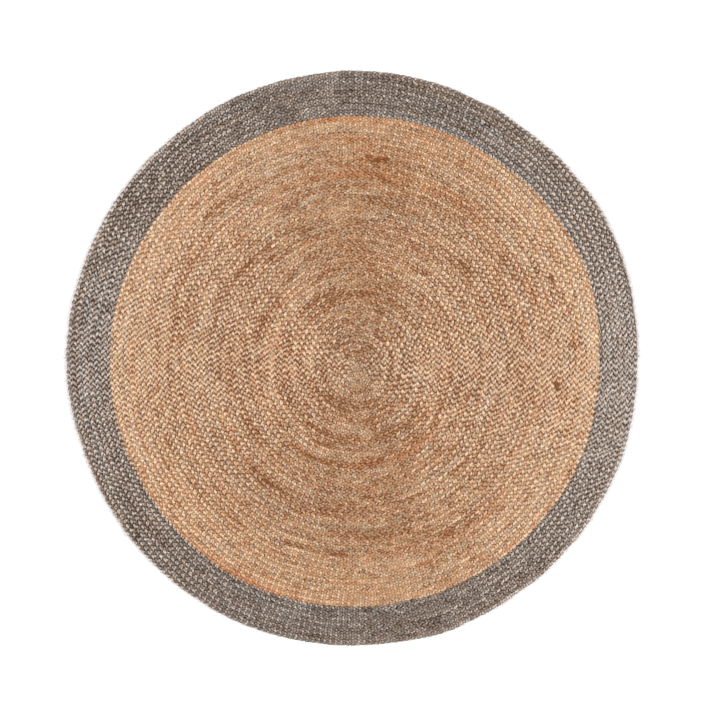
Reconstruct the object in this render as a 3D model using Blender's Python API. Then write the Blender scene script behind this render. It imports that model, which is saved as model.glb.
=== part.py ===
"""A round rug, 1.2 m across, as it lies on a floor: one long flat braid of jute, wound flat and sewn turn to turn.

The inner turns are natural jute and the seven outer turns are dyed grey, so there are two flat pieces with rounded
edges: a disc and the ring round it. Both follow the uneven outline that hand winding gives. Metres, +Z up, with
the origin under the middle of the rug.
"""

import math
from typing import NamedTuple

import bpy

RUG_REACH = 0.600  # the usual distance from the rug's middle to its edge
FIELD_REACH = 0.516  # the same for the natural jute
FIELD_SHIFT = (0.004, -0.0057)  # the natural jute lies a little to one side in the rug
THICKNESS = 0.008
EDGE_ROUND = 0.003  # radius of the braid's side, above and below
GAP = 0.0003  # between the last natural turn and the first grey one
OUTLINE_POINTS = 120
ROUNDING_STEPS = 1


class Swell(NamedTuple):
    """A stretch of an outline that bulges out, or dips in where mm is negative."""

    at_deg: float
    spread_deg: float
    mm: float


EDGE_SWELLS = (
    Swell(at_deg=2, spread_deg=17, mm=-7.0),
    Swell(at_deg=31, spread_deg=14, mm=3.2),
    Swell(at_deg=57, spread_deg=14, mm=-2.5),
    Swell(at_deg=89, spread_deg=12, mm=3.0),
    Swell(at_deg=144, spread_deg=38, mm=-3.6),
    Swell(at_deg=203, spread_deg=14, mm=-5.8),
    Swell(at_deg=252, spread_deg=20, mm=1.5),
    Swell(at_deg=285, spread_deg=18, mm=1.2),
    Swell(at_deg=335, spread_deg=38, mm=-3.0),
)
FIELD_SWELLS = (
    Swell(at_deg=22, spread_deg=18, mm=6.6),
    Swell(at_deg=38, spread_deg=14, mm=3.2),
    Swell(at_deg=142, spread_deg=45, mm=-2.2),
    Swell(at_deg=190, spread_deg=10, mm=3.0),
    Swell(at_deg=247, spread_deg=20, mm=3.2),
    Swell(at_deg=268, spread_deg=8, mm=-3.0),
    Swell(at_deg=308, spread_deg=14, mm=-3.2),
    Swell(at_deg=350, spread_deg=22, mm=-4.6),
)


def reach(usual, swells, angle):
    """The distance from an outline's centre to its edge at this angle."""
    total = usual
    for swell in swells:
        off = math.remainder(angle - math.radians(swell.at_deg), math.tau)
        share = off / math.radians(swell.spread_deg)
        if abs(share) < 1.0:
            total += swell.mm / 1000.0 * math.cos(share * math.pi / 2.0) ** 2
    return total


def outline(usual, swells, centre):
    """The points of a closed outline, counter-clockwise from +X."""
    points = []
    for i in range(OUTLINE_POINTS):
        angle = math.tau * i / OUTLINE_POINTS
        r = reach(usual, swells, angle)
        points.append((centre[0] + r * math.cos(angle), centre[1] + r * math.sin(angle)))
    return points


def box_middle(points):
    """The middle of the box round these points."""
    xs = [x for x, _ in points]
    ys = [y for _, y in points]
    return (min(xs) + max(xs)) / 2.0, (min(ys) + max(ys)) / 2.0


def material(name, colour, roughness):
    mat = bpy.data.materials.new(name)
    mat.use_nodes = True
    shader = mat.node_tree.nodes["Principled BSDF"]
    shader.inputs["Base Color"].default_value = (*colour, 1.0)
    shader.inputs["Roughness"].default_value = roughness
    shader.inputs["Metallic"].default_value = 0.0
    mat.diffuse_color = (*colour, 1.0)
    return mat


def flat_piece(name, outlines, mat, collection):
    """A flat piece that fills the outer outline, less a second one inside it, with its edges rounded."""
    curve = bpy.data.curves.new(name, "CURVE")
    curve.dimensions = "2D"
    curve.fill_mode = "BOTH"
    curve.extrude = THICKNESS / 2.0 - EDGE_ROUND
    curve.bevel_depth = EDGE_ROUND
    curve.bevel_resolution = ROUNDING_STEPS
    curve.offset = -EDGE_ROUND
    for points in outlines:
        spline = curve.splines.new("POLY")
        spline.points.add(len(points) - 1)
        spline.use_cyclic_u = True
        for point, (x, y) in zip(spline.points, points):
            point.co = (x, y, 0.0, 1.0)
    curve.materials.append(mat)
    piece = bpy.data.objects.new(name, curve)
    piece.location.z = THICKNESS / 2.0
    collection.objects.link(piece)
    return piece


def build():
    for old in list(bpy.data.objects):
        bpy.data.objects.remove(old, do_unlink=True)
    collection = bpy.data.collections.new("round_jute_rug")
    bpy.context.scene.collection.children.link(collection)

    natural = material("jute_natural", (0.51, 0.32, 0.19), 0.85)
    grey = material("jute_grey", (0.17, 0.155, 0.135), 0.9)

    off_x, off_y = box_middle(outline(RUG_REACH, EDGE_SWELLS, (0.0, 0.0)))
    rug_centre = (-off_x, -off_y)
    field_centre = (rug_centre[0] + FIELD_SHIFT[0], rug_centre[1] + FIELD_SHIFT[1])

    edge = outline(RUG_REACH, EDGE_SWELLS, rug_centre)
    field = outline(FIELD_REACH, FIELD_SWELLS, field_centre)
    hole = outline(FIELD_REACH + GAP, FIELD_SWELLS, field_centre)

    flat_piece("jute_field", [field], natural, collection)
    flat_piece("grey_border", [edge, hole], grey, collection)


build()
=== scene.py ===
"""The looks of the round jute rug: one flat three-strand braid, coiled from the middle out, strand by strand.

The braid winds clockwise seen from above. Its inner turns are natural jute and its last seven are dyed grey.
The turns follow the outlines of the two CAD pieces, which the strands stand for. Metres, +Z up.
"""

import math
from typing import NamedTuple

import bpy
import numpy as np
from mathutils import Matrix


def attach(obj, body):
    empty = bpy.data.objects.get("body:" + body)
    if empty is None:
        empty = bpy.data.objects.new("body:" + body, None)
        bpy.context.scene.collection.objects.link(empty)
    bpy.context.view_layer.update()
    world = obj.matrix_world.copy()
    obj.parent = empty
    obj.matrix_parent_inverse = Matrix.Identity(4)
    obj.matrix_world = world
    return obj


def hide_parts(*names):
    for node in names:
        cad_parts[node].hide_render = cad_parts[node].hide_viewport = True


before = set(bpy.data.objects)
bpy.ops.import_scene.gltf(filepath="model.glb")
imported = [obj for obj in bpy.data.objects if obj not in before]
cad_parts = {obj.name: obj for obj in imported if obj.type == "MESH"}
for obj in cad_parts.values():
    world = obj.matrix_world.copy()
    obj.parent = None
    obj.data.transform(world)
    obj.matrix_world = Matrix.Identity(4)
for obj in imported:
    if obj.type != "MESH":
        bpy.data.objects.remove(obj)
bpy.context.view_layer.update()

TURN = 2.0 * math.pi
GOLDEN = 0.618034  # places that step on by this share of a gap never bunch up

# The seeds of the random draws
SEED = 4107
NATURAL_BRAID_SEED = SEED + 1
GREY_BRAID_SEED = SEED + 2
NATURAL_STRAND_SEED = SEED + 10  # the strand's number is added
GREY_STRAND_SEED = SEED + 20
NATURAL_THREAD_SEED = SEED + 30
NATURAL_FIBRE_SEED = SEED + 31
GREY_THREAD_SEED = SEED + 32
GREY_FIBRE_SEED = SEED + 33
EDGE_FIBRE_SEED = SEED + 34
NATURAL_TONE_SEED = SEED + 40  # for what the strands share; the seeds after it are each strand's own
GREY_TONE_SEED = SEED + 60

# The coil
NATURAL_TURNS = 44.0  # where the jute changes from natural to grey
GREY_TURNS = 7.0
CHANGE_DEG = 8.0
NATURAL_LAST = NATURAL_TURNS + 5.0 / 360.0  # the natural braid's tapered end lies beside the grey one's start
GREY_FIRST = NATURAL_TURNS - 9.0 / 360.0
END_DEG = 0.0  # where the grey braid's tapered end lies
ALL_TURNS = NATURAL_TURNS + GREY_TURNS + (CHANGE_DEG - END_DEG) / 360.0
FIRST_TURN = 0.03
INNERMOST = -0.15  # the first turn starts just past the middle, so no hole is left there
COIL_MIDDLE = (0.0134, -0.0155)
TAPER_TURNS = 30.0 / 360.0  # how much of the last turn narrows
TAPER_LEAVES = 0.1  # the share of its width that is left at its end
OUTLINE_BLUR_DEG = 9.0  # the rows follow the outlines smoothed by about this much
BLUR_REACH_DEG = 40
FIELD_INSET = 0.0020  # the grey turns press in on the natural ones
EDGE_INSET = 0.0004  # the outermost row stops short of the outline, because its lobes reach past it
BORDER_MIDDLE = 0.555  # a distance from the origin between the border's inner and outer walls
STEPS_A_TURN = 360
ROW_WARP = 0.0007  # slow bends that neighbouring rows share
WARP_SHORTEST = 0.05
WARP_LONGEST = 0.25
ROW_SHIFT = 0.0001  # how far each row strays by itself
SHIFT_STEP = 5.0  # in turns times turns, which grow as the braid's length does
SHIFT_LEAST_TURN = 3.0  # turns further in count as this one there
OUTERMOST_ONSET = 30.0  # how steeply the look of the outermost turn sets in, per turn
MIDDLE_PARTS = 4.0  # the look of the middle fades out over one part in this many of the natural turns

# The braid
STRANDS = 3
THICKNESS = 0.008  # as in the CAD
FULL_ROW = 0.0118  # the width of a full row
PLAIT = 0.0371  # about the length in which a strand goes from side to side and back
LOBES_ADDED = 6  # how many more lobes each turn has on a side than the turn before
LOBE_JITTER = 0.1  # how unevenly those come in, as a share of their distance
SLIP_LOBES = 6.0  # how many lobes make room for the one that comes in
SLIP_LEAST_TURN = 2.0  # turns further in count as this one there
PLAIT_JITTER = 0.15  # in radians
PLAIT_JITTER_STEP = 0.03
SWAY = 0.378  # how far a strand swings to each side, as a share of the row's width
SWAY_HOLD = 0.08  # how much longer than a plain wave it stays at the sides
SWAY_WANDER = 0.0004
NATURAL_RISE = 0.0016  # how far it goes up and down
GREY_RISE = 0.0015
RISE_LAG = 0.10  # the crest comes this much later than midway, in radians
RISE_HOLD = 0.05  # how much flatter than a plain wave its crests are
RISE_WANDER = 0.00018
STRAND_WIDE = 0.0029  # half its width
STRAND_THICK = 0.0019  # half its thickness
MIDWAY_WIDTH = 0.93  # the share of its width that it has between its crests and the row's sides
CREST_SPREAD = 0.12  # how much wider it is on top and underneath
SIDE_SPREAD = 0.2  # how much wider it is where it turns back at the row's side
SIDE_THINNING = 0.1  # how much thinner it is there
SIDE_SHARPNESS = 6  # how close to the row's side that is
STRAND_WANDER = 0.07
FLAT_LIMITS = (0.45, 1.05)  # how far a row's width changes its strands' rise and thickness, as a share
WIDE_LIMITS = (0.3, 1.05)  # and how far their width
CUT_SIZE = 0.45  # a strand's size at its cut ends, as a share
CUT_LENGTH = 0.006  # in this length it would grow by its whole size
END_CLEARANCE = 0.15  # between a strand's ends and the rings next to them, in radians of plaiting
FIBRE_TILT = 0.22  # how far the fibres lie aslant in a strand, in radians
FIBRE_TILT_STEP = 0.8  # in quarters of a plait
STRAND_SIDES = 4
SIDE_CORNERS = (1, 3)  # the others are on top and underneath
RING_OFFSETS_DEG = (-43, -19, 0, 19, 43, 90)  # closer together where a strand is on top
GAP_DEPTH = 0.0027  # the painted shade in the gaps between strands fades out this far from mid height
EDGE_OPEN = 0.45  # how much less dark the gaps are at the rug's edge, which no turn shades
EDGE_OPEN_ONSET = 1.5  # how soon that sets in as a strand swings out
INNER_FLATTER = 0.3  # how much less painted shade the gaps get in the coil's middle


class Streak(NamedTuple):
    """A stretch of the coil that is lighter or darker, and warmer or cooler, than usual: mostly the jute's
    own tone, but three broad ones on the grey border are painted light and shade.

    turns and spread_deg are how far it reaches to each side, across the rows and along them.
    """

    turn: float
    turns: float
    at_deg: float
    spread_deg: float
    light: float = 0.0
    warm: float = 0.0


NATURAL_STREAKS = (
    Streak(turn=4.7, turns=0.6, at_deg=130, spread_deg=60, light=-0.5),
    Streak(turn=4.8, turns=0.9, at_deg=275, spread_deg=70, light=-0.5),
    Streak(turn=6.6, turns=0.8, at_deg=62, spread_deg=40, light=-0.5),
    Streak(turn=7.1, turns=0.7, at_deg=12, spread_deg=35, light=1.1),
    Streak(turn=7.8, turns=0.6, at_deg=237, spread_deg=45, light=-0.7),
    Streak(turn=8.4, turns=0.7, at_deg=162, spread_deg=45, light=1.2),
    Streak(turn=12.9, turns=0.8, at_deg=78, spread_deg=60, light=-0.9, warm=0.2),
    Streak(turn=13.8, turns=0.7, at_deg=120, spread_deg=22, light=-1.2),
    Streak(turn=13.8, turns=0.7, at_deg=250, spread_deg=75, light=-1.2, warm=0.4),
    Streak(turn=13.8, turns=0.6, at_deg=303, spread_deg=30, light=-1.5),
    Streak(turn=15.6, turns=0.9, at_deg=170, spread_deg=45, light=1.2),
    Streak(turn=18.2, turns=0.6, at_deg=255, spread_deg=45, light=-0.9, warm=0.9),
    Streak(turn=18.2, turns=0.6, at_deg=312, spread_deg=30, warm=1.0),
    Streak(turn=18.1, turns=0.6, at_deg=140, spread_deg=75, light=-0.1, warm=0.9),
    Streak(turn=18.3, turns=0.5, at_deg=25, spread_deg=14, light=-1.4, warm=0.3),
    Streak(turn=18.2, turns=0.6, at_deg=158, spread_deg=18, light=-1.3, warm=0.3),
    Streak(turn=19.0, turns=0.6, at_deg=50, spread_deg=38, light=1.2),
    Streak(turn=23.3, turns=0.5, at_deg=42, spread_deg=20, light=1.4),
    Streak(turn=25.5, turns=0.6, at_deg=37, spread_deg=18, light=-1.3, warm=0.3),
    Streak(turn=25.6, turns=0.6, at_deg=263, spread_deg=16, light=-1.7, warm=0.2),
    Streak(turn=26.4, turns=0.5, at_deg=148, spread_deg=26, light=-1.8, warm=0.3),
    Streak(turn=26.8, turns=0.6, at_deg=235, spread_deg=20, light=-2.3, warm=0.3),
    Streak(turn=29.2, turns=0.6, at_deg=215, spread_deg=70, light=-0.2, warm=-1.0),
    Streak(turn=29.3, turns=0.5, at_deg=82, spread_deg=12, light=-2.0, warm=0.2),
    Streak(turn=30.5, turns=0.4, at_deg=113, spread_deg=6, light=-2.4, warm=0.2),
    Streak(turn=30.9, turns=0.6, at_deg=273, spread_deg=22, light=-1.8, warm=0.3),
    Streak(turn=33.1, turns=0.6, at_deg=165, spread_deg=10, light=-2.2, warm=0.2),
    Streak(turn=33.6, turns=0.6, at_deg=90, spread_deg=45, warm=1.1),
    Streak(turn=34.2, turns=0.5, at_deg=252, spread_deg=6, light=-1.7, warm=0.4),
    Streak(turn=34.2, turns=0.5, at_deg=265, spread_deg=5, light=-1.7, warm=0.4),
    Streak(turn=34.4, turns=0.6, at_deg=300, spread_deg=32, light=-1.1, warm=0.4),
    Streak(turn=36.7, turns=0.5, at_deg=83, spread_deg=7, light=-2.2, warm=0.4),
    Streak(turn=37.2, turns=0.6, at_deg=125, spread_deg=50, light=-0.5, warm=0.2),
    Streak(turn=36.0, turns=0.3, at_deg=353, spread_deg=1.5, light=-7.0, warm=-1.0),
    Streak(turn=38.0, turns=0.3, at_deg=23, spread_deg=1.0, light=-4.0, warm=-1.0),
    Streak(turn=44.0, turns=0.5, at_deg=95, spread_deg=60, light=-0.3, warm=0.9),
    Streak(turn=43.6, turns=0.5, at_deg=235, spread_deg=40, warm=1.0),
    Streak(turn=42.5, turns=1.5, at_deg=10, spread_deg=30, light=0.8, warm=-0.6),
)
GREY_STREAKS_AND_PAINTED_LIGHT = (
    # The first three reach over the whole border: painted light at its right side and painted shade at its
    # left, for light that falls unevenly round it; their warmth evens its hue.
    Streak(turn=47.5, turns=5.0, at_deg=138, spread_deg=38, light=-0.9, warm=0.2),
    Streak(turn=47.5, turns=5.0, at_deg=205, spread_deg=50, light=-0.2, warm=0.3),
    Streak(turn=47.5, turns=5.0, at_deg=2, spread_deg=32, light=0.85),
    Streak(turn=45.0, turns=0.5, at_deg=75, spread_deg=45, warm=-1.4),
    Streak(turn=46.3, turns=0.6, at_deg=165, spread_deg=35, light=0.1, warm=-1.2),
    Streak(turn=48.5, turns=0.6, at_deg=185, spread_deg=40, light=0.2, warm=-1.3),
    Streak(turn=47.6, turns=0.5, at_deg=65, spread_deg=25, light=-0.2, warm=-1.1),
    Streak(turn=49.6, turns=0.6, at_deg=115, spread_deg=30, light=-0.3, warm=-1.0),
    Streak(turn=45.2, turns=0.5, at_deg=262, spread_deg=40, light=-0.2, warm=-1.0),
    Streak(turn=50.3, turns=0.5, at_deg=310, spread_deg=35, light=0.3, warm=0.6),
)
STREAK_STRENGTH = 0.5
STREAK_WARMTH = 1.8


class Drift(NamedTuple):
    """A slow random change of tone: its usual size, and the step over which it changes."""

    size: float
    step: float

    def along(self, rng, x):
        return self.size * wander(rng, x, self.step)


class Jute(NamedTuple):
    """How the jute of one braid changes, and how much painted shade darkens it in the gaps between strands.

    Its strands share the first changes, the next are each strand's own, and the last go from lobe to lobe.
    Their steps are in metres, or for lobes in quarters of a plait.
    """

    tone_seed: int
    streaks: tuple
    light_shared: tuple
    light_strand: Drift
    light_limits: tuple
    light_lobe: Drift
    lobe_limits: tuple
    warm_shared: Drift
    warm_strand: Drift
    warm_lobe: Drift
    outer_lighter: float
    # How far the painted shade lowers the tone deep in the gaps between strands
    gap: float


NATURAL = Jute(
    tone_seed=NATURAL_TONE_SEED,
    streaks=NATURAL_STREAKS,
    light_shared=(Drift(size=0.12, step=0.09), Drift(size=0.1, step=0.03)),
    light_strand=Drift(size=0.2, step=0.05),
    light_limits=(-0.6, 0.9),
    light_lobe=Drift(size=0.38, step=1.2),
    lobe_limits=(-0.6, 1.0),
    warm_shared=Drift(size=0.5, step=0.12),
    warm_strand=Drift(size=0.5, step=0.04),
    warm_lobe=Drift(size=0.8, step=1.2),
    outer_lighter=0.3,
    gap=3.0,
)
GREY = Jute(
    tone_seed=GREY_TONE_SEED,
    streaks=GREY_STREAKS_AND_PAINTED_LIGHT,
    light_shared=(Drift(size=0.1, step=0.09),),
    light_strand=Drift(size=0.15, step=0.04),
    light_limits=(-0.5, 0.5),
    light_lobe=Drift(size=0.28, step=1.2),
    lobe_limits=(-math.inf, math.inf),
    warm_shared=Drift(size=0.3, step=0.15),
    warm_strand=Drift(size=0.3, step=0.05),
    warm_lobe=Drift(size=0.5, step=1.2),
    outer_lighter=0.0,
    gap=3.8,
)
FURTHER_IN_DARKER = 0.3  # how much darker the jute is there than near the edge
INNER_DARKER = 0.6  # how much more in its middle, fading out over the inner third
INNER_COOLER = 1.1

# The sewing thread between neighbouring turns
THREAD_FIRST_TURN = 1.2
THREAD_STEP = 0.0062
THREAD_WIDE = 0.0010
THREAD_THICK = 0.0006
THREAD_ZIGZAG = 0.0009
THREAD_RISE = 0.0005
THREAD_RISE_WANDER = 0.0003
THREAD_RISE_STEP = 0.01
THREAD_TONE = 0.5
THREAD_NUMBER = 4  # gives it tones of its own, as each strand's number does
THREAD_SIDES = 3

# The loose fibres. Places are shares of the row's width, out from its middle.
FIBRE_RADIUS = 0.00011
FIBRE_TIP_RADIUS = 0.8  # the share of it that is left towards the tip
FIBRE_ROWS = (0.0, 0.33, 0.7, 1.0)  # where its root, its two rings and its tip are along it
FIBRE_RING_POINTS = 3
FIBRE_POINTS = 8
FIBRE_WALLS = ((1, 2, 5, 4), (2, 3, 6, 5), (3, 1, 4, 6))
FIBRE_ENDS = ((0, 2, 1), (0, 3, 2), (0, 1, 3), (7, 4, 5), (7, 5, 6), (7, 6, 4))
FIBRE_BEND = 0.35  # how far a tip bends aside at most, as a share of the fibre's length
FIBRE_ARCH = 0.6  # how much sooner than evenly a fibre rises
FIBRE_LOWEST = 2.0 * FIBRE_RADIUS
EDGE_FIBRES = 7000
EDGE_FIBRE_PLACE = (0.40, 0.50)
EDGE_FIBRE_HEIGHT = (0.0008, 0.0068)
EDGE_FIBRE_LEAN = 0.7  # the spread, as with the next
EDGE_FIBRE_RISE = 0.0007
EDGE_FIBRE_LENGTH = (3.0, 0.0019)  # the shape and scale of a gamma distribution
EDGE_FIBRE_LIMITS = (0.0015, 0.013)
# The edge fibres are real fuzz, made darker and cooler than the border so that they also stand for the soft
# shadow round the rug's edge: partly painted shade.
EDGE_FIBRE_LIGHT = (-1.7, 0.7)  # the mean and the spread
EDGE_FIBRE_WARM = (-1.4, 0.7)
NATURAL_FIBRES = 2200
FIBRES_FROM = 1.0  # the turn from which they lie on the natural braid
GREY_FIBRES = 900
TOP_FIBRE_PLACE = (-0.45, 0.45)
TOP_FIBRE_HEIGHT = (0.0062, 0.0078)
TOP_FIBRE_LEAN = 0.6
TOP_FIBRE_RISE = (-0.0006, 0.0008)
TOP_FIBRE_LENGTH = (0.004, 0.012)
TOP_FIBRE_LIGHT = (0.3, 1.4)
TOP_FIBRE_WARM = (0.0, 1.0)


class Grain(NamedTuple):
    """A noise that is stretched along the fibres: its scale round and along the strand, and its fineness."""

    scale: tuple
    detail: float
    roughness: float


# The jute's fine look
FIBRE_RING = 0.003  # the fibre noise is read on a ring of this radius round the strand's middle
STRAND_TWIST = 0.05  # the length in which the fibres go once round a strand
THREAD_TWIST = 0.01
STRAND_NOISE_STEP = 200.0  # each strand's noise starts this much further along
THREAD_NOISE_START = 900.0
STREAK_GRAIN = Grain(scale=(2600.0, 2600.0, 110.0), detail=3.0, roughness=0.6)
TUFT_GRAIN = Grain(scale=(700.0, 700.0, 90.0), detail=2.0, roughness=0.55)
HUE_GRAIN = Grain(scale=(520.0, 520.0, 110.0), detail=1.0, roughness=0.5)
STREAK_TONE = 2.0
TUFT_TONE = 3.0
NATURAL_HUES = 4.5  # how much the jute varies between warm and cool
GREY_HUES = 8.0
LIGHT_FULL = 2.6  # the tone at which the jute has all of its pale colour, or below 0 of its dark one
WARM_FULL = 2.2  # and the warmth for its warm colour, or its cool one
ROUGH_FROM = (0.3, 0.7)  # between these values of the streak noise
ROUGHNESS = (0.55, 0.65)  # the roughness goes from one of these to the other
BUMP = 0.5
BUMP_HEIGHT = 0.0003
STRAY = 1.2  # how far single tufts lie aslant
FIBRE_LENGTHWISE = 0.85  # how much narrower the shine is along the fibres than across
NATURAL_IOR = 2.75
GREY_IOR = 2.85
SHINE_IN_DARK = 0.15  # the share of the shine that dark jute keeps, where the painted gap shade darkens it too
DARK_FROM = (-2.7, -0.7)  # between these tones the shine goes from that share to its whole
SHINE_IN_WARM = 0.6  # the share that rust-coloured jute keeps
WARM_FROM = (0.3, 2.6)  # between these values of warmth it goes from its whole to that share

# The UV maps, for baking the materials
UV_NAME = "OFBake"
STRIP_SPARE = 0.6  # the room between two strips of a tube's map, in widths of a face
CELL_SCALE = 0.28  # the size of a face of a loose fibre, as a share of the fibre's square
CELL_MARGIN = 0.08

# The floor, lights and camera
FLOOR_HALF = 30.0
FLOOR_DROP = 0.0005  # the floor lies this far below the rug
FLOOR_GLOW = 0.27  # makes the floor white
LAMP_ELEVATION = 28.0
LAMP_SOFTNESS = 26.0
CAMERA_HEIGHT = 4.0
SENSOR_WIDTH = 36.0
VIEW_MIDDLE = (0.0172, -0.00464)
VIEW_WIDTH = 1.5089  # the width of floor that the photo shows


# ---- noise


def wander(rng, x, step):
    """Smooth random values along x, about 1 in size, that change over lengths of about step."""
    knots = rng.standard_normal(int(np.max(x) / step) + 4)
    place = np.asarray(x) / step
    low = np.floor(place).astype(int)
    part = place - low
    ease = part * part * (3.0 - 2.0 * part)
    return knots[low] * (1.0 - ease) + knots[low + 1] * ease


class Waves:
    """A smooth random field over the plane, about 1 in size."""

    def __init__(self, rng, shortest, longest, count=24):
        self.length = np.exp(rng.uniform(math.log(shortest), math.log(longest), count))
        self.way = rng.uniform(0.0, TURN, count)
        self.start = rng.uniform(0.0, TURN, count)

    def at(self, x, y):
        total = np.zeros(np.shape(x))
        for length, way, start in zip(self.length, self.way, self.start):
            total += np.cos((x * math.cos(way) + y * math.sin(way)) * TURN / length + start)
        return total * math.sqrt(2.0 / len(self.length))


# ---- outlines and rows


def wall_points(node, inside):
    """The points halfway up a CAD node's side walls that lie further from the origin than inside."""
    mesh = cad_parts[node].data
    points = np.empty(len(mesh.vertices) * 3)
    mesh.vertices.foreach_get("co", points)
    points = points.reshape(-1, 3)
    reach = np.hypot(points[:, 0], points[:, 1])
    mid_height = abs(points[:, 2] - THICKNESS / 2.0) < THICKNESS / 6.0
    return points[mid_height & (reach > inside), :2]


def round_table(points, middle):
    """The outline's distance from middle at each whole degree."""
    off = points - np.array(middle)
    angles = np.arctan2(off[:, 1], off[:, 0]) % TURN
    order = np.argsort(angles)
    angles = angles[order]
    reach = np.hypot(off[:, 0], off[:, 1])[order]
    angles = np.concatenate([angles - TURN, angles, angles + TURN])
    return np.interp(np.radians(np.arange(360)), angles, np.tile(reach, 3))


def blurred(table):
    """A table of 360 values, one each degree, smoothed round the circle."""
    offsets = np.arange(-BLUR_REACH_DEG, BLUR_REACH_DEG + 1)
    weights = np.exp(-0.5 * (offsets / OUTLINE_BLUR_DEG) ** 2)
    weights /= weights.sum()
    return sum(w * np.roll(table, o) for o, w in zip(offsets, weights))


def looked_up(table, angle):
    """The value at an angle in radians, from a table with one value each degree."""
    place = np.degrees(angle) % 360.0
    low = np.floor(place).astype(int) % 360
    part = place - np.floor(place)
    return table[low] * (1.0 - part) + table[(low + 1) % 360] * part


def turns_out_to(last_turn, at_deg):
    """For each degree, the turn count at the outer side of a braid that ends after last_turn, at at_deg."""
    behind = (np.arange(360) - at_deg) % 360.0
    return last_turn + 0.5 - behind / 360.0


def nested_lobes(rng):
    """How many lobes the braid has on a side up to each step of the coil.

    Each lobe lies in the hollow between two of the turn before. A turn is longer than that turn, so here and
    there a lobe comes in between.
    """
    turns = np.arange(int(ALL_TURNS * STEPS_A_TURN) + 2) / STEPS_A_TURN
    count = int(LOBES_ADDED * ALL_TURNS) + 1
    spread_out = (np.arange(count) * GOLDEN) % 1.0 + rng.uniform(-LOBE_JITTER, LOBE_JITTER, count)
    places = (np.arange(count) + spread_out) / LOBES_ADDED
    added = np.zeros(len(turns))
    for place in places:
        spread = SLIP_LOBES / (LOBES_ADDED * max(place, SLIP_LEAST_TURN))
        bump = np.exp(-0.5 * ((turns - place) / spread) ** 2)
        added += bump / bump.sum()
    for start in range(STEPS_A_TURN, len(turns), STEPS_A_TURN):
        before = added[start - STEPS_A_TURN : start]
        added[start : start + STEPS_A_TURN] += before[: len(added) - start]
    return np.cumsum(added)


class Coil:
    """Where the braid's middle line runs. Turns count up from 0 in the middle, while the angle falls."""

    def __init__(self):
        field = wall_points("jute_field", 0.0)
        edge = wall_points("grey_border", BORDER_MIDDLE)
        self.field_middle = (field.min(0) + field.max(0)) / 2.0
        field_reach = round_table(field, self.field_middle) - FIELD_INSET
        edge_reach = round_table(edge, self.field_middle) - EDGE_INSET
        natural_to = turns_out_to(NATURAL_TURNS, CHANGE_DEG)
        self.natural_to = blurred(natural_to)
        self.natural_pitch = blurred(field_reach / natural_to)
        before_end = ((np.arange(360) - END_DEG) % 360.0) / 360.0
        narrowing = np.clip(1.0 - before_end / TAPER_TURNS, 0.0, 1.0)
        grey_to = turns_out_to(ALL_TURNS, END_DEG) - narrowing * (1.0 - TAPER_LEAVES)
        grey_reach = edge_reach - self.natural_pitch * self.natural_to
        self.grey_pitch = blurred(grey_reach / (grey_to - self.natural_to))
        rng = np.random.default_rng(SEED)
        self.warp_x = Waves(rng, WARP_SHORTEST, WARP_LONGEST)
        self.warp_y = Waves(rng, WARP_SHORTEST, WARP_LONGEST)
        self.lobes = nested_lobes(rng)

    def angle(self, turns):
        """The direction of a turn count from the coil's middle, in radians."""
        return math.radians(CHANGE_DEG) + TURN * (NATURAL_TURNS - turns)

    def plain_reach(self, turns, angle):
        """The distance of a turn count from the coil's middle, without the taper."""
        border = looked_up(self.natural_to, angle)
        natural = looked_up(self.natural_pitch, angle) * np.minimum(turns, border)
        return natural + looked_up(self.grey_pitch, angle) * np.maximum(turns - border, 0.0)

    def taper(self, turns):
        """The share of its width that a row has, which is less towards the grey braid's end."""
        left = np.clip((ALL_TURNS - turns) / TAPER_TURNS, 0.0, 1.0)
        return TAPER_LEAVES + (1.0 - TAPER_LEAVES) * left

    def sides(self, turns, natural):
        """How far the row's inner and outer sides lie from the coil's middle."""
        angle = self.angle(turns)
        border = looked_up(self.natural_to, angle)
        inner = np.maximum(turns - 0.5, INNERMOST if natural else border)
        outer = np.minimum(turns + 0.5, border) if natural else turns + 0.5
        low = self.plain_reach(inner, angle)
        return low, low + (self.plain_reach(outer, angle) - low) * self.taper(turns)

    def place(self, turns, reach):
        """The point of a turn this far out, from a middle that moves from COIL_MIDDLE to the field's own."""
        angle = self.angle(turns)
        share = np.clip(turns / NATURAL_TURNS, 0.0, 1.0)
        x = COIL_MIDDLE[0] + (self.field_middle[0] - COIL_MIDDLE[0]) * share + reach * np.cos(angle)
        y = COIL_MIDDLE[1] + (self.field_middle[1] - COIL_MIDDLE[1]) * share + reach * np.sin(angle)
        return x + ROW_WARP * self.warp_x.at(x, y), y + ROW_WARP * self.warp_y.at(x, y)


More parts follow.
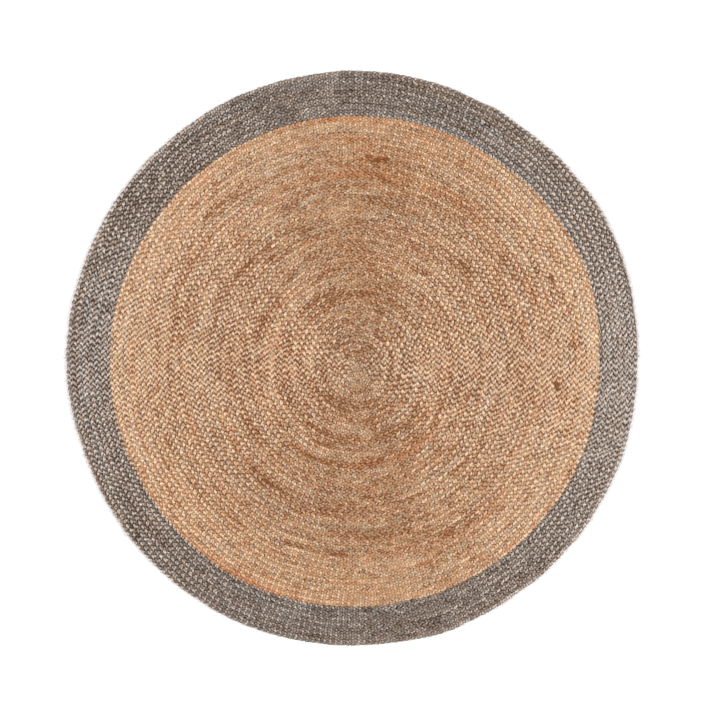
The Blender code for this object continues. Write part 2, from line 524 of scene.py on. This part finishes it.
class Braid:
    """One braid's middle line in fine steps, with its length, direction, row width and plaiting phase."""

    def __init__(self, coil, natural, first_turn, last_turn, rise, seed):
        rng = np.random.default_rng(seed)
        self.coil = coil
        self.rise = rise
        self.turns = np.linspace(first_turn, last_turn, int((last_turn - first_turn) * STEPS_A_TURN))
        low, high = coil.sides(self.turns, natural)
        self.width = high - low
        run = self.turns * np.maximum(self.turns, SHIFT_LEAST_TURN)
        shift = ROW_SHIFT * wander(rng, run, SHIFT_STEP)
        self.x, self.y = coil.place(self.turns, (low + high) / 2.0 + shift)
        step = np.hypot(np.diff(self.x), np.diff(self.y))
        self.length = np.concatenate([[0.0], np.cumsum(step)])
        along_x = np.gradient(self.x, self.length)
        along_y = np.gradient(self.y, self.length)
        size = np.hypot(along_x, along_y)
        self.along_x = along_x / size
        self.along_y = along_y / size
        lobes = np.interp(self.turns * STEPS_A_TURN, np.arange(len(coil.lobes)), coil.lobes)
        jitter = PLAIT_JITTER * wander(rng, self.length, PLAIT_JITTER_STEP)
        self.phase = np.maximum.accumulate(TURN / STRANDS * lobes + jitter)

    def at(self, name, length):
        """One of the values kept for each step, such as "x", at these lengths along the braid."""
        return np.interp(length, self.length, getattr(self, name))

    def at_edge(self, length):
        """1 on the rug's outermost turn and 0 elsewhere."""
        return np.clip((self.at("turns", length) - (ALL_TURNS - 1.0)) * OUTERMOST_ONSET, 0.0, 1.0)

    def at_middle(self, length):
        """1 in the coil's middle, and 0 from a quarter of the natural turns on."""
        return np.clip(1.0 - MIDDLE_PARTS * self.at("turns", length) / NATURAL_TURNS, 0.0, 1.0)

    def outward(self, length):
        """The direction across the braid, away from the coil's middle. The braid winds clockwise."""
        return -self.at("along_y", length), self.at("along_x", length)

    def beside(self, length, across):
        """The points this far outward from the middle line."""
        out_x, out_y = self.outward(length)
        return self.at("x", length) + out_x * across, self.at("y", length) + out_y * across


# ---- strands


def quarters(phases):
    """How many quarters of a plait lie between the first of these phases and each of them."""
    return (phases - phases[0]) / (TURN / 4.0)


def end_shrink(from_end):
    """How thick a strand is this far from its cut end, as a share."""
    return np.clip(CUT_SIZE + from_end / CUT_LENGTH, 0.0, 1.0)


def strand_rings(braid, number, seed):
    """A strand's rings from end to end.

    They are given as centre points, half widths, half thicknesses, fibre slants, lengths along the braid and
    plaiting phases.
    """
    rng = np.random.default_rng(seed + number)
    lag = TURN * number / STRANDS
    first, last = braid.length[0], braid.length[-1]
    phase_first, phase_last = braid.phase[0] + lag, braid.phase[-1] + lag
    whole = np.arange(math.floor(phase_first / TURN), math.ceil(phase_last / TURN) + 1)
    crest = math.pi / 4.0 + RISE_LAG / 2.0
    rings = crest + np.radians(RING_OFFSETS_DEG)
    rings = np.concatenate([rings, rings + math.pi])
    phases = (whole[:, None] * TURN + rings[None, :]).ravel()
    inside = (phases > phase_first + END_CLEARANCE) & (phases < phase_last - END_CLEARANCE)
    phases = np.concatenate([[phase_first], phases[inside], [phase_last]])
    length = np.interp(phases - lag, braid.phase, braid.length)
    quarter = quarters(phases)
    width = braid.at("width", length)
    row = width / FULL_ROW
    flat = np.clip(row, *FLAT_LIMITS)
    across = SWAY * width * (np.sin(phases) + SWAY_HOLD * np.sin(3.0 * phases))
    across += SWAY_WANDER * row * wander(rng, quarter, 1.0)
    lift = RISE_WANDER * wander(rng, quarter, 1.0)
    climb = 2.0 * phases - RISE_LAG
    height = THICKNESS / 2.0 + braid.rise * flat * (np.sin(climb) + RISE_HOLD * np.sin(3.0 * climb)) + lift
    x, y = braid.beside(length, across)
    ends = end_shrink(np.minimum(length - first, last - length))
    on_top = np.abs(np.sin(climb))
    fat = 1.0 + STRAND_WANDER * wander(rng, quarter, 1.0)
    at_side = np.sin(phases) ** SIDE_SHARPNESS
    swell = MIDWAY_WIDTH + CREST_SPREAD * on_top + SIDE_SPREAD * at_side
    wide = STRAND_WIDE * np.clip(row, *WIDE_LIMITS) * fat * ends * swell
    thick = STRAND_THICK * flat * ends * (2.0 - fat) * (1.0 - SIDE_THINNING * at_side)
    slant = FIBRE_TILT * wander(rng, quarter, FIBRE_TILT_STEP)
    return np.stack([x, y, height], axis=1), wide, thick, slant, length, phases


def tube(centre, wide, thick, slant, sides):
    """A closed tube with a flattened section round these points.

    It comes as points, quads, triangles and, for each ring, the direction across its fibres.
    """
    count = len(centre)
    along = np.gradient(centre, axis=0)
    along /= np.linalg.norm(along, axis=1)[:, None]
    side = np.cross(along, np.array([0.0, 0.0, 1.0]))
    side /= np.linalg.norm(side, axis=1)[:, None]
    up = np.cross(side, along)
    round_it = math.pi / 2.0 + TURN * np.arange(sides) / sides
    ring = (
        centre[:, None, :]
        + side[:, None, :] * (wide[:, None] * np.cos(round_it)[None, :])[:, :, None]
        + up[:, None, :] * (thick[:, None] * np.sin(round_it)[None, :])[:, :, None]
    )
    points = np.concatenate([ring.reshape(-1, 3), centre[:1], centre[-1:]])
    points[:, 2] = np.maximum(points[:, 2], 0.0)
    ring_no = np.arange(count - 1)[:, None] * sides
    corner = np.arange(sides)[None, :]
    following = (corner + 1) % sides
    faces = [ring_no + corner, ring_no + sides + corner, ring_no + sides + following, ring_no + following]
    quads = np.stack(faces, axis=2).reshape(-1, 4)
    corner, following = corner[0], following[0]
    near, far = count * sides, count * sides + 1
    last_ring = (count - 1) * sides
    near_cap = np.stack([corner, following, np.full(sides, near)], axis=1)
    far_cap = np.stack([last_ring + following, last_ring + corner, np.full(sides, far)], axis=1)
    lay = side * np.cos(slant)[:, None] + along * np.sin(slant)[:, None]
    return points, quads, np.concatenate([near_cap, far_cap]), lay


def mesh_object(name, points, quads, triangles, material):
    """A smooth piece of these points and faces."""
    mesh = bpy.data.meshes.new(name)
    mesh.vertices.add(len(points))
    mesh.vertices.foreach_set("co", points.astype(np.float32).ravel())
    corners = np.concatenate([quads.ravel(), triangles.ravel()])
    starts = np.concatenate([np.arange(len(quads)) * 4, len(quads) * 4 + np.arange(len(triangles)) * 3])
    mesh.loops.add(len(corners))
    mesh.loops.foreach_set("vertex_index", corners.astype(np.int32))
    mesh.polygons.add(len(starts))
    mesh.polygons.foreach_set("loop_start", starts.astype(np.int32))
    mesh.polygons.foreach_set("use_smooth", np.ones(len(starts), bool))
    mesh.update(calc_edges=True)
    mesh.validate()
    mesh.materials.append(material)
    piece = bpy.data.objects.new(name, mesh)
    bpy.context.scene.collection.objects.link(piece)
    return piece


def crease(piece, sides, at):
    """Keeps the smooth shading of a tube's upper and lower half apart, along these corners of its section."""
    mesh = piece.data
    ends = np.empty(len(mesh.edges) * 2, np.int32)
    mesh.edges.foreach_get("vertices", ends)
    ends = ends.reshape(-1, 2)
    lengthwise = (ends[:, 0] % sides == ends[:, 1] % sides) & (ends.max(1) < len(mesh.vertices) - 2)
    sharp = mesh.attributes.new("sharp_edge", "BOOLEAN", "EDGE")
    sharp.data.foreach_set("value", lengthwise & np.isin(ends[:, 0] % sides, at))


def give(mesh, name, values):
    """Stores values, one number or three for each vertex, under this name."""
    kind, field = ("FLOAT_VECTOR", "vector") if values.ndim == 2 else ("FLOAT", "value")
    attribute = mesh.attributes.new(name, kind, "POINT")
    attribute.data.foreach_set(field, values.astype(np.float32).ravel())


def around(values, sides):
    """Values of rings, given to each point of a tube."""
    ringed = np.repeat(values, sides, axis=0)
    return np.concatenate([ringed, values[:1], values[-1:]])


def gap_depth(z):
    """How deep points lie between the braid's faces, from 0 to 1: the share of the painted gap shade that
    they get.
    """
    return np.clip(1.0 - np.abs(z - THICKNESS / 2.0) / GAP_DEPTH, 0.0, 1.0)


def strip_map(piece, rings, sides):
    """A UV map of a tube: its surface unrolled and laid down in strips, one above the other."""
    tall = sides + STRIP_SPARE
    strips = math.ceil(math.sqrt((rings - 1) / tall))
    in_strip = math.ceil((rings - 1) / strips)
    ring, side = np.divmod(np.arange((rings - 1) * sides), sides)
    strip, place = np.divmod(ring, in_strip)
    u = place[:, None] + np.array([0.0, 1.0, 1.0, 0.0])[None, :]
    v = side[:, None] + np.array([0.0, 0.0, 1.0, 1.0])[None, :] + STRIP_SPARE / 2.0
    walls = np.stack([u / in_strip, (strip[:, None] + v / tall) / strips], axis=2).reshape(-1, 2)
    cap = np.array([(0.0, 0.0), (0.0, 1.0), (0.5, 0.5)]) + (0.0, STRIP_SPARE / 2.0)
    caps = np.tile(cap / (in_strip, strips * tall), (2 * sides, 1))
    layer = piece.data.uv_layers.new(name=UV_NAME)
    layer.uv.foreach_set("vector", np.concatenate([walls, caps]).astype(np.float32).ravel())


def fibre_places(length, sides, start, twist):
    """Coordinates for the fibre noise, which follow the fibres as they go round the strand once a twist."""
    angle = length[:, None] * TURN / twist + (TURN * np.arange(sides) / sides)[None, :]
    run = np.repeat(length[:, None], sides, axis=1) + start
    places = np.stack([FIBRE_RING * np.cos(angle), FIBRE_RING * np.sin(angle), run], axis=2).reshape(-1, 3)
    return np.concatenate([places, places[:1], places[-1:]])


def tube_piece(name, rings, sides, material, places, tone, warm, gap):
    """A piece of one tube, with what its material needs to know at each point."""
    centre, wide, thick, slant = rings
    points, quads, triangles, lay = tube(centre, wide, thick, slant, sides)
    piece = mesh_object(name, points, quads, triangles, material)
    give(piece.data, "fibre", places)
    give(piece.data, "across", around(lay, sides))
    # The tone is lowered deep between the strands: painted shade in the gaps.
    give(piece.data, "tone", around(tone, sides) - around(gap, sides) * gap_depth(points[:, 2]))
    give(piece.data, "warm", around(warm, sides))
    strip_map(piece, len(centre), sides)
    return piece


def strand_piece(name, braid, number, jute, material, seed):
    """One of a braid's strands, from end to end."""
    *rings, length, phases = strand_rings(braid, number, seed)
    tone, warm = tones(jute, braid, number, length, phases)
    places = fibre_places(length, STRAND_SIDES, STRAND_NOISE_STEP * number, STRAND_TWIST)
    # The painted gap shade is weaker where the outermost turn swings out, and in the coil's middle.
    swung_out = np.clip(EDGE_OPEN_ONSET * np.sin(phases), 0.0, 1.0)
    gap = jute.gap * (1.0 - EDGE_OPEN * braid.at_edge(length) * swung_out)
    gap = gap * (1.0 - INNER_FLATTER * braid.at_middle(length))
    piece = tube_piece(name, rings, STRAND_SIDES, material, places, tone, warm, gap)
    crease(piece, STRAND_SIDES, SIDE_CORNERS)
    return piece


# ---- thread and loose fibres


def thread_piece(name, braid, last_turn, jute, material, seed):
    """The thread that sews each turn to the next, zigzagging along the seam at mid height."""
    rng = np.random.default_rng(seed)
    first = np.interp(THREAD_FIRST_TURN, braid.turns, braid.length)
    last = np.interp(last_turn, braid.turns, braid.length)
    length = np.arange(first, last, THREAD_STEP)
    way = np.where(np.arange(len(length)) % 2 == 0, 1.0, -1.0)
    across = 0.5 * braid.at("width", length) + THREAD_ZIGZAG * way
    height = THICKNESS / 2.0 + THREAD_RISE * way + THREAD_RISE_WANDER * wander(rng, length, THREAD_RISE_STEP)
    x, y = braid.beside(length, across)
    rings = (
        np.stack([x, y, height], axis=1),
        np.full(len(length), THREAD_WIDE),
        np.full(len(length), THREAD_THICK),
        np.zeros(len(length)),
    )
    tone, warm = tones(jute, braid, THREAD_NUMBER, length, length * TURN / PLAIT)
    places = fibre_places(length, THREAD_SIDES, THREAD_NOISE_START, THREAD_TWIST)
    # The thread lies at mid height, deep in the gap, so it gets the whole painted gap shade; THREAD_TONE
    # lifts it by a little.
    gap = np.full(len(length), jute.gap)
    return tube_piece(name, rings, THREAD_SIDES, material, places, tone + THREAD_TONE, warm, gap)


class Roots(NamedTuple):
    """Where loose fibres start: their length along the braid, their point, and the direction across it."""

    length: np.ndarray
    x: np.ndarray
    y: np.ndarray
    out_x: np.ndarray
    out_y: np.ndarray


def fibre_roots(braid, count, first_turn, place, rng):
    """Random roots along a braid, from first_turn on, between two places across the row."""
    first = np.interp(first_turn, braid.turns, braid.length)
    length = rng.uniform(first, braid.length[-1], count)
    across = rng.uniform(*place, count) * braid.at("width", length)
    return Roots(length, *braid.beside(length, across), *braid.outward(length))


def hair_piece(name, roots, height, lean, rise, long, material, tone, warm):
    """Loose fibres in one mesh: each a thin closed spindle that bends from its root to its tip.

    lean is each fibre's angle from straight outward across the braid, and rise how far its tip is above its
    root. The spindle's points are its root, two rings and its tip.
    """
    x, y = roots.x, roots.y
    way_x = roots.out_x * np.cos(lean) - roots.out_y * np.sin(lean)
    way_y = roots.out_y * np.cos(lean) + roots.out_x * np.sin(lean)
    odd = 7.0 * lean + 3.0 * x / PLAIT  # differs from fibre to fibre, so that each bends its own way
    bend = FIBRE_BEND * long * np.sin(odd)
    rows = []
    for along in FIBRE_ROWS:
        off = bend * along * along
        row_x = x + way_x * long * along - way_y * off
        row_y = y + way_y * long * along + way_x * off
        row_z = height + rise * along * (1.0 + FIBRE_ARCH - FIBRE_ARCH * along)
        rows.append(np.stack([row_x, row_y, np.maximum(row_z, FIBRE_LOWEST)], axis=1))
    root, low, high, tip = rows
    side = np.stack([-way_y, way_x, np.zeros(len(x))], axis=1)
    corners = []
    for middle, size in ((low, 1.0), (high, FIBRE_TIP_RADIUS)):
        for corner in range(FIBRE_RING_POINTS):
            angle = math.pi * (0.5 + 2.0 * corner / FIBRE_RING_POINTS)
            wide = FIBRE_RADIUS * size * math.cos(angle)
            up = FIBRE_RADIUS * size * math.sin(angle)
            corners.append(middle + side * wide + np.array([0.0, 0.0, up]))
    points = np.stack([root, *corners, tip], axis=1).reshape(-1, 3)
    base = (np.arange(len(x)) * FIBRE_POINTS)[:, None, None]
    walls = (base + np.array(FIBRE_WALLS)[None]).reshape(-1, 4)
    ends = (base + np.array(FIBRE_ENDS)[None]).reshape(-1, 3)
    piece = mesh_object(name, points, walls, ends, material)
    places = np.stack([x, y, roots.length], axis=1)
    for key, values in (("fibre", places), ("across", side), ("tone", tone), ("warm", warm)):
        give(piece.data, key, np.repeat(values, FIBRE_POINTS, axis=0))
    cell_map(piece, len(x))
    return piece


def cell_map(piece, count):
    """A UV map for loose fibres: each fibre's faces in a small square of their own."""
    grid = math.ceil(math.sqrt(count))
    wall = np.array([(1, 0), (1, 1), (2, 1), (2, 0)], float)
    root = np.array([(0, 0.5), (1, 1), (1, 0)], float)
    tip = np.array([(3, 0.5), (2, 0), (2, 1)], float)
    walls = np.concatenate([wall + (0, side) for side in range(3)])
    ends = np.concatenate([cap + (0, side) for cap in (root, tip) for side in range(3)])
    cell = np.stack([np.arange(count) % grid, np.arange(count) // grid], axis=1)[:, None, :]
    uv = [((part[None] * CELL_SCALE + CELL_MARGIN) + cell) / grid for part in (walls, ends)]
    layer = piece.data.uv_layers.new(name=UV_NAME)
    flat = np.concatenate([part.reshape(-1, 2) for part in uv])
    layer.uv.foreach_set("vector", flat.astype(np.float32).ravel())


def edge_hair(name, braid, material, seed):
    """The short fibres that stand out all round the rug's edge."""
    rng = np.random.default_rng(seed)
    roots = fibre_roots(braid, EDGE_FIBRES, ALL_TURNS - 1.0, EDGE_FIBRE_PLACE, rng)
    height = rng.uniform(*EDGE_FIBRE_HEIGHT, EDGE_FIBRES)
    lean = rng.normal(0.0, EDGE_FIBRE_LEAN, EDGE_FIBRES)
    rise = rng.normal(0.0, EDGE_FIBRE_RISE, EDGE_FIBRES)
    long = np.clip(rng.gamma(*EDGE_FIBRE_LENGTH, EDGE_FIBRES), *EDGE_FIBRE_LIMITS)
    # Dark, cool tones: partly painted shade, standing for the soft shadow round the edge.
    tone = rng.normal(*EDGE_FIBRE_LIGHT, EDGE_FIBRES)
    warm = rng.normal(*EDGE_FIBRE_WARM, EDGE_FIBRES)
    return hair_piece(name, roots, height, lean, rise, long, material, tone, warm)


def top_hair(name, braid, count, first_turn, material, seed):
    """Loose fibres that lie on the braid, more or less along it."""
    rng = np.random.default_rng(seed)
    roots = fibre_roots(braid, count, first_turn, TOP_FIBRE_PLACE, rng)
    height = rng.uniform(*TOP_FIBRE_HEIGHT, count)
    lean = math.pi / 2.0 * rng.choice([-1.0, 1.0], count) + rng.normal(0.0, TOP_FIBRE_LEAN, count)
    rise = rng.uniform(*TOP_FIBRE_RISE, count)
    long = rng.uniform(*TOP_FIBRE_LENGTH, count)
    tone = rng.normal(*TOP_FIBRE_LIGHT, count)
    warm = rng.normal(*TOP_FIBRE_WARM, count)
    return hair_piece(name, roots, height, lean, rise, long, material, tone, warm)


# ---- tones


def streaked(streaks, braid, length):
    """The light and warm values that a table of streaks gives at these lengths along a braid."""
    turns = braid.at("turns", length)
    angle = np.degrees(braid.coil.angle(turns))
    light = np.zeros(len(turns))
    warm = np.zeros(len(turns))
    for streak in streaks:
        off = (angle - streak.at_deg + 180.0) % 360.0 - 180.0
        across_rows = np.exp(-(((turns - streak.turn) / streak.turns) ** 2))
        along_rows = np.exp(-((off / streak.spread_deg) ** 2) * 2.0)
        share = across_rows * along_rows
        light += STREAK_STRENGTH * streak.light * share
        warm += STREAK_WARMTH * streak.warm * share
    return light, warm


def tones(jute, braid, number, length, phases):
    """How light and how warm a strand is at these places."""
    shared = np.random.default_rng(jute.tone_seed)
    own = np.random.default_rng(jute.tone_seed + 1 + number)
    quarter = quarters(phases)
    tone = sum(drift.along(shared, length) for drift in jute.light_shared)
    tone = np.clip(tone + jute.light_strand.along(own, length), *jute.light_limits)
    tone += np.clip(jute.light_lobe.along(own, quarter), *jute.lobe_limits)
    out = braid.at("turns", length) / NATURAL_TURNS
    tone -= FURTHER_IN_DARKER * np.clip((0.9 - out) / 0.3, 0.0, 1.0)
    outer_sixth = np.clip(out * 6.0 - 5.0, 0.0, 1.0)
    inner_third = np.clip(1.0 - out * 3.0, 0.0, 1.0)
    tone += jute.outer_lighter * outer_sixth - INNER_DARKER * inner_third
    warmth = jute.warm_shared.along(shared, length) + jute.warm_strand.along(own, length)
    warmth += jute.warm_lobe.along(own, quarter)
    light, warm = streaked(jute.streaks, braid, length)
    return tone + light, warmth + warm - INNER_COOLER * braid.at_middle(length)


# ---- materials


class Nodes:
    """Short ways to add shader nodes and link them."""

    def __init__(self, name):
        self.material = bpy.data.materials.new(name)
        self.material.use_nodes = True
        self.tree = self.material.node_tree
        self.shader = self.tree.nodes["Principled BSDF"]

    def put(self, socket, value):
        if isinstance(value, bpy.types.NodeSocket):
            self.tree.links.new(value, socket)
        else:
            socket.default_value = value

    def add(self, kind, output=0, settings=(), inputs=()):
        node = self.tree.nodes.new(kind)
        for key, value in dict(settings).items():
            setattr(node, key, value)
        for key, value in dict(inputs).items():
            self.put(node.inputs[key], value)
        return node.outputs[output]

    def maths(self, operation, a, b):
        return self.add("ShaderNodeMath", settings={"operation": operation}, inputs={0: a, 1: b})

    def swing(self, noise, size):
        """A noise from 0 to 1, turned into one from minus half of size to plus half of it."""
        return self.maths("MULTIPLY", self.maths("SUBTRACT", noise, 0.5), size)

    def ranged(self, value, low, high, to_low=0.0, to_high=1.0):
        """A value that eases from to_low to to_high while the given one goes from low to high."""
        return self.add(
            "ShaderNodeMapRange",
            settings={"interpolation_type": "SMOOTHSTEP"},
            inputs={"Value": value, "From Min": low, "From Max": high, "To Min": to_low, "To Max": to_high},
        )

    def stored(self, name, output="Fac"):
        return self.add("ShaderNodeAttribute", output, {"attribute_name": name})

    def vector(self, operation, a, b=(0.0, 0.0, 0.0), **more):
        inputs = {0: a, 1: b, **more}
        return self.add("ShaderNodeVectorMath", settings={"operation": operation}, inputs=inputs)

    def noise(self, place, grain):
        inputs = {
            "Vector": self.vector("MULTIPLY", place, grain.scale),
            "Scale": 1.0,
            "Detail": grain.detail,
            "Roughness": grain.roughness,
        }
        return self.add("ShaderNodeTexNoise", "Fac", inputs=inputs)

    def mixed(self, share, a, b):
        """A colour between a and b. The node's colours are its sockets 6 and 7, and come out of its third."""
        node = self.tree.nodes.new("ShaderNodeMix")
        node.data_type = "RGBA"
        for socket, value in ((node.inputs[0], share), (node.inputs[6], a), (node.inputs[7], b)):
            self.put(socket, value)
        return node.outputs[2]


def rgb(red, green, blue):
    return (red, green, blue, 1.0)


def strand_material(name, base, pale, warm, cool, dark, shine, ior, hues):
    """Parallel fibres: fine streaks along a strand, which shine across the fibres' direction as hair does.

    hues is how much the jute varies between warm and cool.
    """
    n = Nodes(name)
    fibre = n.stored("fibre", "Vector")
    streak = n.noise(fibre, STREAK_GRAIN)
    tuft = n.noise(fibre, TUFT_GRAIN)
    hue = n.noise(fibre, HUE_GRAIN)
    light = n.maths("ADD", n.stored("tone"), n.swing(tuft, TUFT_TONE))
    light = n.maths("ADD", light, n.swing(streak, STREAK_TONE))
    warmth = n.maths("ADD", n.stored("warm"), n.swing(hue, hues))
    colour = n.mixed(n.ranged(warmth, 0.0, WARM_FULL), base, warm)
    colour = n.mixed(n.ranged(warmth, 0.0, -WARM_FULL), colour, cool)
    colour = n.mixed(n.ranged(light, 0.0, LIGHT_FULL), colour, pale)
    colour = n.mixed(n.ranged(light, 0.0, -LIGHT_FULL), colour, dark)
    shader = n.shader.inputs
    n.put(shader["Base Color"], colour)
    n.put(shader["Roughness"], n.ranged(streak, *ROUGH_FROM, *ROUGHNESS))
    normal = n.add("ShaderNodeNewGeometry", "Normal")
    across = n.stored("across", "Vector")
    along = n.vector("CROSS_PRODUCT", normal, across)
    lay = n.vector("ADD", across, n.vector("SCALE", along, Scale=n.swing(tuft, STRAY)))
    n.put(shader["Tangent"], lay)
    bump = {"Strength": BUMP, "Distance": BUMP_HEIGHT, "Height": streak}
    n.put(shader["Normal"], n.add("ShaderNodeBump", "Normal", inputs=bump))
    shader["Anisotropic"].default_value = FIBRE_LENGTHWISE
    in_dark = n.ranged(light, *DARK_FROM, SHINE_IN_DARK, 1.0)
    in_warm = n.ranged(warmth, *WARM_FROM, 1.0, SHINE_IN_WARM)
    n.put(shader["Specular IOR Level"], n.maths("MULTIPLY", in_dark, in_warm))
    shader["IOR"].default_value = ior
    shader["Specular Tint"].default_value = shine
    return n.material


def floor_material():
    n = Nodes("white_floor")
    n.shader.inputs["Base Color"].default_value = rgb(0.93, 0.93, 0.93)
    n.shader.inputs["Roughness"].default_value = 0.9
    n.shader.inputs["Specular IOR Level"].default_value = 0.1
    n.shader.inputs["Emission Color"].default_value = rgb(1.0, 1.0, 1.0)
    n.shader.inputs["Emission Strength"].default_value = FLOOR_GLOW
    return n.material


# ---- the rug

coil = Coil()
natural_braid = Braid(coil, True, FIRST_TURN, NATURAL_LAST, NATURAL_RISE, NATURAL_BRAID_SEED)
grey_braid = Braid(coil, False, GREY_FIRST, ALL_TURNS, GREY_RISE, GREY_BRAID_SEED)
natural = strand_material(
    "natural_jute",
    base=rgb(0.515, 0.229, 0.060),
    pale=rgb(0.80, 0.51, 0.30),
    warm=rgb(0.51, 0.165, 0.030),
    cool=rgb(0.40, 0.25, 0.14),
    dark=rgb(0.19, 0.052, 0.006),
    shine=rgb(1.0, 0.863, 0.696),
    ior=NATURAL_IOR,
    hues=NATURAL_HUES,
)
grey = strand_material(
    "grey_jute",
    base=rgb(0.105, 0.068, 0.046),
    pale=rgb(0.33, 0.26, 0.21),
    warm=rgb(0.20, 0.09, 0.045),
    cool=rgb(0.060, 0.080, 0.105),
    dark=rgb(0.045, 0.018, 0.008),
    shine=rgb(1.0, 0.875, 0.765),
    ior=GREY_IOR,
    hues=GREY_HUES,
)

field_strands = [
    strand_piece(f"natural_strand_{k + 1}", natural_braid, k, NATURAL, natural, NATURAL_STRAND_SEED)
    for k in range(STRANDS)
]
border_strands = [
    strand_piece(f"grey_strand_{k + 1}", grey_braid, k, GREY, grey, GREY_STRAND_SEED)
    for k in range(STRANDS)
]
field_extras = [
    thread_piece("natural_thread", natural_braid, NATURAL_LAST, NATURAL, natural, NATURAL_THREAD_SEED),
    top_hair("natural_fibres", natural_braid, NATURAL_FIBRES, FIBRES_FROM, natural, NATURAL_FIBRE_SEED),
]
border_extras = [
    thread_piece("grey_thread", grey_braid, ALL_TURNS - 1.0, GREY, grey, GREY_THREAD_SEED),
    top_hair("grey_fibres", grey_braid, GREY_FIBRES, GREY_FIRST, grey, GREY_FIBRE_SEED),
    edge_hair("edge_fibres", grey_braid, grey, EDGE_FIBRE_SEED),
]

for piece in field_strands + field_extras:
    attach(piece, "root")
for piece in border_strands + border_extras:
    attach(piece, "root")
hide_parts("jute_field")
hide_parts("grey_border")


# ---- floor, lights and camera


def add_floor():
    mesh = bpy.data.meshes.new("floor")
    corners = ((-1, -1), (1, -1), (1, 1), (-1, 1))
    points = [(FLOOR_HALF * x, FLOOR_HALF * y, -FLOOR_DROP) for x, y in corners]
    mesh.from_pydata(points, [], [(0, 1, 2, 3)])
    mesh.materials.append(floor_material())
    floor = bpy.data.objects.new("floor", mesh)
    bpy.context.scene.collection.objects.link(floor)


def add_sun(name, azimuth, strength):
    """A soft lamp far away. Azimuth 0 is to the right in the photo, and 90 is at its top."""
    light = bpy.data.lights.new(name, "SUN")
    light.energy = strength
    light.angle = math.radians(LAMP_SOFTNESS)
    lamp = bpy.data.objects.new(name, light)
    lamp.rotation_euler = (0.0, math.radians(90.0 - LAMP_ELEVATION), math.radians(azimuth))
    bpy.context.scene.collection.objects.link(lamp)


def add_world(strength):
    world = bpy.data.worlds.new("studio")
    world.use_nodes = True
    background = world.node_tree.nodes["Background"]
    background.inputs["Color"].default_value = rgb(1.0, 1.0, 1.0)
    background.inputs["Strength"].default_value = strength
    bpy.context.scene.world = world


def add_camera():
    """A camera that looks straight down, as the photo does."""
    camera_data = bpy.data.cameras.new("camera")
    camera_data.sensor_width = SENSOR_WIDTH
    camera_data.lens = SENSOR_WIDTH * CAMERA_HEIGHT / VIEW_WIDTH
    camera = bpy.data.objects.new("camera", camera_data)
    camera.location = (*VIEW_MIDDLE, CAMERA_HEIGHT)
    bpy.context.scene.collection.objects.link(camera)
    bpy.context.scene.camera = camera


add_floor()
add_sun("lamp_right", azimuth=0.0, strength=3.4)
add_sun("lamp_left", azimuth=180.0, strength=3.2)
add_world(strength=0.25)
add_camera()
bpy.context.scene.view_settings.view_transform = "Standard"
